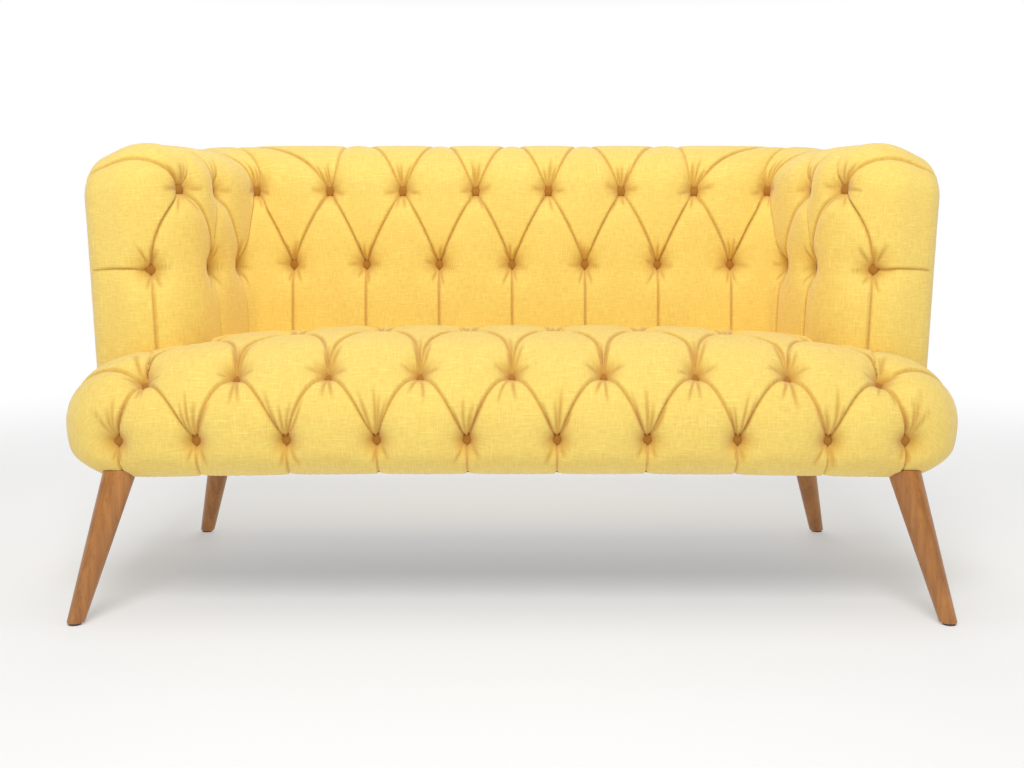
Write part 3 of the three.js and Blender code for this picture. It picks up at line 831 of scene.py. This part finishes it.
def start_part(name, **primitive):
    """Adds a bpy.ops primitive with nothing else selected; gives its object."""
    bpy.ops.object.select_all(action="DESELECT")
    kind = primitive.pop("kind")
    getattr(bpy.ops.mesh, f"primitive_{kind}_add")(**primitive)
    piece = bpy.context.active_object
    piece.name = piece.data.name = name
    return piece


def settle(piece):
    """Puts a part's place into its mesh."""
    bpy.ops.object.select_all(action="DESELECT")
    piece.select_set(True)
    bpy.context.view_layer.objects.active = piece
    bpy.ops.object.transform_apply(location=True, rotation=True, scale=True)
    return piece


def button_set(name, pins, size):
    """Covered buttons, one at each pin, in one mesh."""
    lift, height = 0.10 * size, 0.30 * size
    master = start_part(f"{name}_pattern", kind="uv_sphere", segments=20, ring_count=12,
                        radius=size / 2)
    bpy.ops.object.mode_set(mode="EDIT")
    bpy.ops.transform.resize(value=(1.0, 1.0, 2 * height / size))
    bpy.ops.object.mode_set(mode="OBJECT")
    settle(master)
    copies = []
    for place, facing in pins:
        copy = bpy.data.objects.new(f"{name}_part", master.data.copy())
        bpy.context.scene.collection.objects.link(copy)
        way = Vector(facing)
        copy.rotation_mode = "QUATERNION"
        copy.rotation_quaternion = way.to_track_quat("Z", "Y")
        copy.location = Vector(place) + way * lift
        copies.append(copy)
    bpy.data.objects.remove(master)
    bpy.ops.object.select_all(action="DESELECT")
    for copy in copies:
        copy.select_set(True)
    bpy.context.view_layer.objects.active = copies[0]
    bpy.ops.object.join()
    piece = settle(bpy.context.active_object)
    piece.name = piece.data.name = name
    piece.data.shade_smooth()
    return piece


LEG_FOOT_RADIUS, LEG_TOP_RADIUS = 0.013, 0.025
LEG_TOP_Y, LEG_TOP_X = 0.243, {"front": 0.619, "rear": 0.554}
LEG_SPARE = 0.12  # the cone runs on past both ends by this share before it is cut level
LEG_SINK, LEG_ROUND = 0.006, 0.0016  # how far the leg's top runs in, and its edges' radius


def turned_leg(which):
    """A tapered leg that leans outwards, cut level at its top and foot."""
    low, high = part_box(f"leg_{which}")
    glide_low, glide_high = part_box(f"glide_{which}")
    foot = (glide_low + glide_high) / 2
    foot.z = 0.0
    end, side = which.split("_")
    head = Vector((LEG_TOP_X[end] * dict(SIDES)[side],
                   LEG_TOP_Y * (-1 if end == "front" else 1), high.z))
    axis = head - foot
    grow = (LEG_TOP_RADIUS - LEG_FOOT_RADIUS) * LEG_SPARE
    leg = start_part(f"wood_leg_{which}", kind="cone", vertices=64,
                     depth=axis.length * (1 + 2 * LEG_SPARE),
                     radius1=LEG_FOOT_RADIUS - grow, radius2=LEG_TOP_RADIUS + grow,
                     end_fill_type="NGON", location=(foot + head) / 2,
                     rotation=axis.to_track_quat("Z", "Y").to_euler())
    settle(leg)
    bpy.ops.object.mode_set(mode="EDIT")
    for height, keep_above in ((low.z, True), (high.z + LEG_SINK, False)):
        bpy.ops.mesh.select_all(action="SELECT")
        bpy.ops.mesh.bisect(plane_co=(0.0, 0.0, height), plane_no=(0.0, 0.0, 1.0),
                            use_fill=True, clear_inner=keep_above, clear_outer=not keep_above)
    bpy.ops.mesh.select_all(action="DESELECT")
    bpy.ops.mesh.select_mode(type="EDGE")
    bpy.ops.mesh.edges_select_sharp(sharpness=math.radians(50))
    bpy.ops.mesh.bevel(offset=LEG_ROUND, segments=4, profile=0.5, affect="EDGES")
    bpy.ops.mesh.select_all(action="SELECT")
    bpy.ops.mesh.normals_make_consistent(inside=False)
    bpy.ops.object.mode_set(mode="OBJECT")
    bpy.ops.object.shade_smooth_by_angle(angle=math.radians(35))
    return leg


# ---- materials ------------------------------------------------------------------------------

class Finish:
    """A material's node tree, built up a node at a time."""

    def __init__(self, name):
        self.material = bpy.data.materials.new(name)
        self.material.use_nodes = True
        self.nodes = self.material.node_tree.nodes
        self.links = self.material.node_tree.links
        self.shader = next(n for n in self.nodes if n.type == "BSDF_PRINCIPLED")

    def plug(self, node, socket, value):
        """Sets a socket, or links it where the value is another node's output."""
        target = node.inputs[socket]
        if isinstance(value, bpy.types.NodeSocket):
            self.links.new(value, target)
        else:
            target.default_value = value

    def add(self, kind, sockets=None, **settings):
        """Adds a node with its settings and sockets."""
        node = self.nodes.new(f"ShaderNode{kind}")
        for key, value in settings.items():
            setattr(node, key, value)
        for socket, value in (sockets or {}).items():
            self.plug(node, socket, value)
        return node

    def math(self, operation, a, b):
        """A Math node's output."""
        return self.add("Math", {0: a, 1: b}, operation=operation).outputs[0]

    def noise(self, vector, scale, stretch=(1.0, 1.0, 1.0), detail=2.0, roughness=0.5):
        """Noise stretched along chosen axes."""
        mapped = self.add("Mapping", {"Vector": vector, "Scale": stretch}).outputs[0]
        return self.add("TexNoise", {"Vector": mapped, "Scale": scale, "Detail": detail,
                                     "Roughness": roughness}).outputs[0]

    def span(self, value, low, high, to_low=0.0, to_high=1.0):
        """A value moved from one span to another."""
        return self.add("MapRange", {0: value, 1: low, 2: high, 3: to_low, 4: to_high}).outputs[0]

    def blend(self, share, a, b, how="MIX"):
        """Two colours blended by a share."""
        node = self.nodes.new("ShaderNodeMix")
        node.data_type, node.blend_type = "RGBA", how
        for socket, value in ((0, share), (6, a), (7, b)):
            if isinstance(value, bpy.types.NodeSocket):
                self.links.new(value, node.inputs[socket])
            else:
                node.inputs[socket].default_value = value
        return node.outputs[2]

    def bumps(self, height, strength, distance):
        """Bumps the shader by a height."""
        bump = self.add("Bump", {"Height": height, "Strength": strength, "Distance": distance})
        self.links.new(bump.outputs[0], self.shader.inputs["Normal"])

    def set(self, **sockets):
        """Sets or links the shader's sockets, named with underscores for spaces."""
        for name, value in sockets.items():
            self.plug(self.shader, name.replace("_", " "), value)
        return self.material


def shade(colour_value, factor, warm=0.0):
    """A colour made lighter or darker, and warmer, as four numbers."""
    r, g, b = colour_value
    return (min(r * factor * (1 + 0.15 * warm), 1.0), g * factor * (1 - 0.25 * warm),
            b * factor * (1 - 0.6 * warm), 1.0)


THREADS, SLUBS = 520.0, 620.0  # the weave's and the thick threads' noise scales


def linen(name, colour_value, sewn):
    """Slubby plain-weave linen. `sewn` reads the cover's own cloth map and the painted shade
    stored at its points.
    """
    f = Finish(name)
    if sewn:
        at = f.add("UVMap", uv_map="cloth").outputs[0]
    else:
        at = f.add("TexCoord").outputs["Object"]
    across = f.noise(at, THREADS, (1.0, 0.13, 1.0), detail=3.0, roughness=0.6)
    along = f.noise(at, THREADS, (0.13, 1.0, 0.13), detail=3.0, roughness=0.6)
    weave = f.math("ADD", f.math("MULTIPLY", across, 0.5), f.math("MULTIPLY", along, 0.5))
    patches = f.noise(at, 9.0, detail=3.0)
    slub = f.noise(at, SLUBS, (0.045, 1.0, 0.045), detail=1.0)
    upright = f.noise(at, SLUBS, (1.0, 0.045, 1.0), detail=1.0)
    tone = f.span(weave, 0.36, 0.64)
    ground = f.blend(tone, shade(colour_value, 0.84, 0.25), shade(colour_value, 1.07, -0.15))
    # Broad random patches in the cloth's tone, its wear.
    wear_and_shade = f.blend(f.span(patches, 0.35, 0.70), shade(colour_value, 0.96, 0.06),
                   shade(colour_value, 1.03, -0.10))
    ground = f.blend(0.35, ground, wear_and_shade)
    for thread, share in ((slub, 0.60), (upright, 0.40)):
        ground = f.blend(f.span(thread, 0.60, 0.74, 0.0, share), ground,
                         shade(colour_value, 1.12, -0.5))
    if sewn:
        # Painted shade: the cover darkens and warms towards a deep ochre where its points lie
        # deep in dips.
        hollow_shade = f.add("Attribute", attribute_name="hollow_shade").outputs["Fac"]
        ground = f.blend(f.span(hollow_shade, 0.0, 1.0, 0.0, 0.86), ground,
                         shade(colour_value, 0.48, 1.3))
    f.bumps(weave, 0.55, 0.0007)
    return f.set(Base_Color=ground, Roughness=f.span(weave, 0.3, 0.7, 0.92, 0.80),
                 Specular_IOR_Level=0.30, Sheen_Weight=0.30, Sheen_Roughness=0.50)


def leg_wood(colour_value):
    """Stained, satin-lacquered hardwood with its grain along the leg."""
    f = Finish("stained_wood")
    at = f.add("TexCoord").outputs["Object"]
    bend = f.noise(at, 7.0, (1.0, 1.0, 0.25), detail=2.0)
    grain = f.noise(at, 95.0, (1.0, 1.0, 0.055), detail=5.0, roughness=0.62)
    pores = f.noise(at, 420.0, (1.0, 1.0, 0.04), detail=2.0)
    figure = f.math("ADD", f.math("MULTIPLY", grain, 0.75), f.math("MULTIPLY", bend, 0.35))
    tone = f.blend(f.span(figure, 0.42, 0.68), shade(colour_value, 0.74, 0.15),
                   shade(colour_value, 1.16, -0.05))
    tone = f.blend(f.span(pores, 0.60, 0.72, 0.0, 0.5), tone, shade(colour_value, 0.40))
    f.bumps(f.math("SUBTRACT", grain, pores), 0.18, 0.0004)
    return f.set(Base_Color=tone, Roughness=f.span(grain, 0.3, 0.7, 0.34, 0.46),
                 Coat_Weight=0.25, Coat_Roughness=0.22)


def frame_wood():
    """Plain planed softwood."""
    f = Finish("planed_softwood")
    at = f.add("TexCoord").outputs["Object"]
    grain = f.noise(at, 60.0, (0.08, 1.0, 1.0), detail=4.0)
    tone = f.blend(f.span(grain, 0.4, 0.65), (0.56, 0.38, 0.20, 1.0), (0.74, 0.56, 0.34, 1.0))
    f.bumps(grain, 0.2, 0.0005)
    return f.set(Base_Color=tone, Roughness=f.span(grain, 0.3, 0.7, 0.62, 0.74))


def woven(name, dark, light, scale, roughness):
    """Plain woven cloth or webbing."""
    f = Finish(name)
    at = f.add("TexCoord").outputs["Object"]
    warp = f.noise(at, scale, (1.0, 0.12, 1.0))
    weft = f.noise(at, scale, (0.12, 1.0, 1.0))
    weave = f.math("MULTIPLY", f.math("ADD", warp, weft), 0.5)
    tone = f.blend(f.span(weave, 0.38, 0.62), dark, light)
    f.bumps(weave, 0.4, 0.0005)
    return f.set(Base_Color=tone, Roughness=f.span(weave, 0.3, 0.7, roughness, roughness - 0.1))


def steel():
    """Zinc-plated steel with fine scratches."""
    f = Finish("zinc_steel")
    at = f.add("TexCoord").outputs["Object"]
    rub = f.noise(at, 300.0, (1.0, 1.0, 0.1))
    tone = f.blend(rub, (0.50, 0.50, 0.51, 1.0), (0.62, 0.62, 0.63, 1.0))
    f.bumps(rub, 0.1, 0.0002)
    return f.set(Base_Color=tone, Metallic=1.0, Roughness=f.span(rub, 0.3, 0.7, 0.28, 0.42))


def nylon():
    """Dark moulded nylon, scuffed by the floor."""
    f = Finish("dark_nylon")
    at = f.add("TexCoord").outputs["Object"]
    scuff = f.noise(at, 240.0, detail=4.0)
    tone = f.blend(scuff, (0.035, 0.030, 0.026, 1.0), (0.085, 0.075, 0.065, 1.0))
    f.bumps(scuff, 0.2, 0.0003)
    return f.set(Base_Color=tone, Roughness=f.span(scuff, 0.3, 0.7, 0.45, 0.65))


def painted_floor():
    """A matt white studio floor that also glows: painted light, weakest round the sofa and whole
    far out, lifts its shadow and fades it into the white walls.
    """
    f = Finish("studio_floor")
    at = f.add("TexCoord").outputs["Object"]
    tone = f.blend(f.noise(at, 3.0), (0.93, 0.93, 0.93, 1.0), (0.95, 0.95, 0.95, 1.0))
    f.set(Base_Color=tone, Roughness=0.9, Specular_IOR_Level=0.1)
    away = f.add("VectorMath", {0: at}, operation="LENGTH").outputs["Value"]
    # Painted light: the floor glows, a 0.35 share near the middle rising to all of it far out,
    # which brightens the sofa's shadow.
    glow = f.add("Emission", {"Color": (1.0, 1.0, 1.0, 1.0), "Strength": 1.0})
    near, far = 1.1, 3.0
    glow_share = f.add("MapRange", {0: away, 1: near, 2: far, 3: 0.35, 4: 1.0},
                  interpolation_type="SMOOTHSTEP")
    both = f.add("MixShader", {0: glow_share.outputs[0], 1: f.shader.outputs[0], 2: glow.outputs[0]})
    output = next(n for n in f.nodes if n.type == "OUTPUT_MATERIAL")
    f.links.new(both.outputs[0], output.inputs["Surface"])
    return f.material


FRAME_FINISHES = {
    "leg_bolt": steel, "tub_bolt": steel, "glide": nylon,
    "webbing": lambda: woven("jute_webbing", (0.30, 0.20, 0.10, 1.0), (0.55, 0.42, 0.25, 1.0),
                             420.0, 0.9),
    "dust_cover": lambda: woven("black_cambric", (0.012, 0.012, 0.013, 1.0),
                                (0.035, 0.035, 0.037, 1.0), 600.0, 0.95),
}


# ---- operators ------------------------------------------------------------------------------

def detail():
    """Mesh steps along one side of a patch."""
    return 48


def sizes():
    """The sizes set in the scene."""
    return bpy.context.scene.sofa_sizes


def colours():
    """The colours set in the scene."""
    return bpy.context.scene.sofa_colours


def cover_linen():
    """The sewn covers' linen, made once."""
    return bpy.data.materials.get("linen_cover") or linen("linen_cover", colours().cloth, True)


def button_linen():
    """The buttons' linen, made once. Its colour is the cloth darkened and warmed: painted shade
    for the shadow the buttons lie in.
    """
    # Painted shade: the cloth darkened and warmed for the shadow round the buttons.
    wear_and_shade = shade(colours().cloth, 0.38, 1.25)[:3]
    return bpy.data.materials.get("linen_button") or linen("linen_button", wear_and_shade, False)


def add_hollow_shade(piece, hollow_shade):
    """Stores each point's share of painted shade, for the linen to darken its dips."""
    layer = piece.data.attributes.new("hollow_shade", "FLOAT", "POINT")
    layer.data.foreach_set("value", np.asarray(hollow_shade, np.float32))


class SOFA_OT_seat(bpy.types.Operator):
    """Sews the deep-buttoned seat deck"""
    bl_idname = "sofa.seat"
    bl_label = "Seat deck"

    def execute(self, context):
        plan = SeatPlan(seat_slab(sizes()), sizes())
        cover = Cover(sew_seat(plan, detail()), Tufting(sizes().seat_puff), plan.buttons(),
                      seat_gathers(plan), seat_calm(plan))
        ring = cover.rim()
        at_rear = np.abs(cover.flat[:, 1] - plan.rear) < 1e-6
        shift = next(i for i in range(len(ring)) if at_rear[ring[i]] and not at_rear[ring[i - 1]])
        ring = ring[shift:] + ring[:shift]
        rear = [v for v in ring if at_rear[v]]
        hem = [v for v in ring if not at_rear[v]]
        faces = cover.faces + [rear, [rear[-1]] + hem + [rear[0]]]
        seat = make_piece("seat_cushion", cover.verts, faces, cover_linen(),
                          cover.flat)
        cloth = seat.data.uv_layers["cloth"].data
        for polygon, axis in zip(seat.data.polygons[-2:], (2, 1)):
            polygon.use_smooth = False
            for corner in polygon.loop_indices:
                place = seat.data.vertices[seat.data.loops[corner].vertex_index].co
                cloth[corner].uv = (place.x, place[axis])
        add_hollow_shade(seat, cover.hollow_shade)
        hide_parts("seat_pad")
        pins = cover.pins(plan.shown_top(), BUTTON_SINK) + cover.pins(plan.shown_ring())
        buttons = button_set("seat_buttons", pins, sizes().button)
        finish_piece(buttons, button_linen())
        return {"FINISHED"}


class SOFA_OT_tub(bpy.types.Operator):
    """Sews the deep-buttoned back and arms in one"""
    bl_idname = "sofa.tub"
    bl_label = "Back and arms"

    def execute(self, context):
        plan = TubPlan(tub_slab(), sizes())
        cover = Cover(sew_tub(plan, detail()), Tufting(sizes().tub_puff), plan.buttons(),
                      tub_gathers(plan), tub_calm(plan))
        count = len(cover.verts)
        inner = cover.base - cover.normals * PADDING
        faces = cover.faces + [[v + count for v in f[::-1]] for f in cover.faces]
        ring = cover.rim()
        faces += [[a, b, b + count, a + count] for a, b in zip(ring, ring[1:] + ring[:1])]
        tub = make_piece("tub_cushion", np.concatenate([cover.verts, inner]), faces,
                         cover_linen(), np.concatenate([cover.flat] * 2))
        add_hollow_shade(tub, np.concatenate([cover.hollow_shade] * 2))
        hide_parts("back_pad", "arm_pad_left", "arm_pad_right")
        buttons = button_set("tub_buttons", cover.pins(plan.buttons()), sizes().button)
        finish_piece(buttons, button_linen())
        return {"FINISHED"}


class SOFA_OT_panels(bpy.types.Operator):
    """Covers the outsides of the back and arms"""
    bl_idname = "sofa.panels"
    bl_label = "Outside panels"

    def execute(self, context):
        low, high, foot_x, head_x = self.extent("outside_back_panel")
        y = high.y - PANEL_INSET
        corners = [(foot_x, y, low.z), (-foot_x, y, low.z), (-head_x, y, high.z),
                   (head_x, y, high.z)]
        self.cover("outside_back", "outside_back_panel", corners, (0, 1, 0))
        for name, side in SIDES:
            low, high, foot_x, head_x = self.extent(f"outside_arm_panel_{name}")
            start, end = (low.y, high.y) if side > 0 else (high.y, low.y)
            corners = [(side * foot_x, start, low.z), (side * foot_x, end, low.z),
                       (side * head_x, end, high.z), (side * head_x, start, high.z)]
            self.cover(f"outside_arm_{name}", f"outside_arm_panel_{name}", corners, (side, 0, 0))
        return {"FINISHED"}

    def extent(self, node):
        """A panel's box, lapped at the foot and head, and where the leaning arms stand there."""
        low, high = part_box(node)
        low.z, high.z = low.z - PANEL_LAP, high.z - PANEL_UNDER
        return low, high, *(OUTER_X - PANEL_TUCK + ARM_LEAN * (z - LEAN_FROM)
                            for z in (low.z, high.z))

    def cover(self, name, node, corners, outwards):
        """Makes one panel."""
        verts, faces, cloth = panel_mesh(corners, outwards)
        panel = make_piece(name, verts, faces, cover_linen(), cloth)
        add_hollow_shade(panel, np.zeros(len(verts)))
        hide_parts(node)


class SOFA_OT_legs(bpy.types.Operator):
    """Turns the four splayed legs"""
    bl_idname = "sofa.legs"
    bl_label = "Legs"

    def execute(self, context):
        wood = leg_wood(colours().wood)
        for which in LEGS:
            leg = finish_piece(turned_leg(which), wood)
            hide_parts(f"leg_{which}")
        return {"FINISHED"}


class SOFA_OT_frame(bpy.types.Operator):
    """Finishes the hidden frame, webbing, bolts, dust cover and glides"""
    bl_idname = "sofa.frame"
    bl_label = "Frame finishes"

    def execute(self, context):
        made = {}
        for name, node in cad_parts.items():
            maker = next((m for start, m in FRAME_FINISHES.items() if name.startswith(start)),
                         frame_wood)
            if node.hide_render:
                continue
            made[maker] = made.get(maker) or maker()
            node.data.materials.clear()
            node.data.materials.append(made[maker])
        return {"FINISHED"}


# The stage: each light's name, place, size in metres and power in watts.
LIGHTS = (("key", (-0.2, -2.5, 3.3), 1.6, 84.0), ("top", (0.0, -0.2, 3.4), 2.0, 20.0),
          ("rear", (0.0, 2.6, 2.6), 2.4, 24.0))
LIT_HEIGHT = 0.4  # the lights aim at this height
CAMERA_PLACE, CAMERA_DOWN, LENS = (0.0, -2.296, 0.626), 7.175, 46.5
CEILING_FROM, CEILING_SHARE = (0.15, 0.26), 0.30  # where the white walls end, and what follows


class SOFA_OT_stage(bpy.types.Operator):
    """Sets out the floor, the lights and the camera"""
    bl_idname = "sofa.stage"
    bl_label = "Stage"

    def execute(self, context):
        scene = context.scene
        floor = start_part("studio_floor", kind="grid", x_subdivisions=4, y_subdivisions=4,
                           size=30.0)
        floor.data.materials.append(painted_floor())
        world = scene.world or bpy.data.worlds.new("studio")
        scene.world = world
        world.use_nodes = True
        sky = next(n for n in world.node_tree.nodes if n.type == "BACKGROUND")
        sky.inputs[0].default_value = (1.0, 1.0, 1.0, 1.0)
        self.fade_overhead(world.node_tree, sky)
        for name, place, size, power in LIGHTS:
            light = bpy.data.lights.new(f"studio_{name}", "AREA")
            light.size, light.energy = size, power
            lamp = bpy.data.objects.new(light.name, light)
            lamp.location = place
            towards = Vector((0.0, 0.0, LIT_HEIGHT)) - lamp.location
            lamp.rotation_euler = towards.to_track_quat("-Z", "Y").to_euler()
            scene.collection.objects.link(lamp)
        lens = bpy.data.cameras.new("studio_camera")
        lens.lens, lens.sensor_width = LENS, 36.0
        camera = bpy.data.objects.new(lens.name, lens)
        camera.location = CAMERA_PLACE
        camera.rotation_euler = (math.radians(90.0 - CAMERA_DOWN), 0.0, 0.0)
        scene.collection.objects.link(camera)
        scene.camera = camera
        scene.view_settings.view_transform = "Standard"
        return {"FINISHED"}

    def fade_overhead(self, tree, sky):
        """Makes the studio's walls white and its ceiling dimmer."""
        where = tree.nodes.new("ShaderNodeTexCoord").outputs["Generated"]
        split = tree.nodes.new("ShaderNodeSeparateXYZ")
        fade = tree.nodes.new("ShaderNodeMapRange")
        tree.links.new(where, split.inputs[0])
        tree.links.new(split.outputs["Z"], fade.inputs[0])
        for socket, value in zip((1, 2, 3, 4), (*CEILING_FROM, 1.0, CEILING_SHARE)):
            fade.inputs[socket].default_value = value
        tree.links.new(fade.outputs[0], sky.inputs[1])


class SOFA_PT_builder(bpy.types.Panel):
    """Lists the sofa's pieces"""
    bl_idname = "SOFA_PT_builder"
    bl_label = "Tufted sofa"
    bl_space_type = "VIEW_3D"
    bl_region_type = "UI"
    bl_category = "Sofa"

    def draw(self, context):
        for group in (context.scene.sofa_sizes, context.scene.sofa_colours):
            for name in group.bl_rna.properties.keys():
                if name not in ("rna_type", "name"):
                    self.layout.prop(group, name)
        for step in STEPS:
            self.layout.operator(step.bl_idname)


STEPS = (SOFA_OT_seat, SOFA_OT_tub, SOFA_OT_panels, SOFA_OT_legs, SOFA_OT_frame, SOFA_OT_stage)
CLASSES = (SofaSizes, SofaColours, *STEPS, SOFA_PT_builder)


def register():
    """Registers the add-on."""
    for item in CLASSES:
        bpy.utils.register_class(item)
    bpy.types.Scene.sofa_sizes = bpy.props.PointerProperty(type=SofaSizes)
    bpy.types.Scene.sofa_colours = bpy.props.PointerProperty(type=SofaColours)


def unregister():
    """Takes the add-on out again."""
    del bpy.types.Scene.sofa_sizes, bpy.types.Scene.sofa_colours
    for item in reversed(CLASSES):
        bpy.utils.unregister_class(item)


def main():
    """Builds the sofa step by step."""
    register()
    for step in STEPS:
        group, action = step.bl_idname.split(".")
        getattr(getattr(bpy.ops, group), action)()


if __name__ == "__main__":
    main()
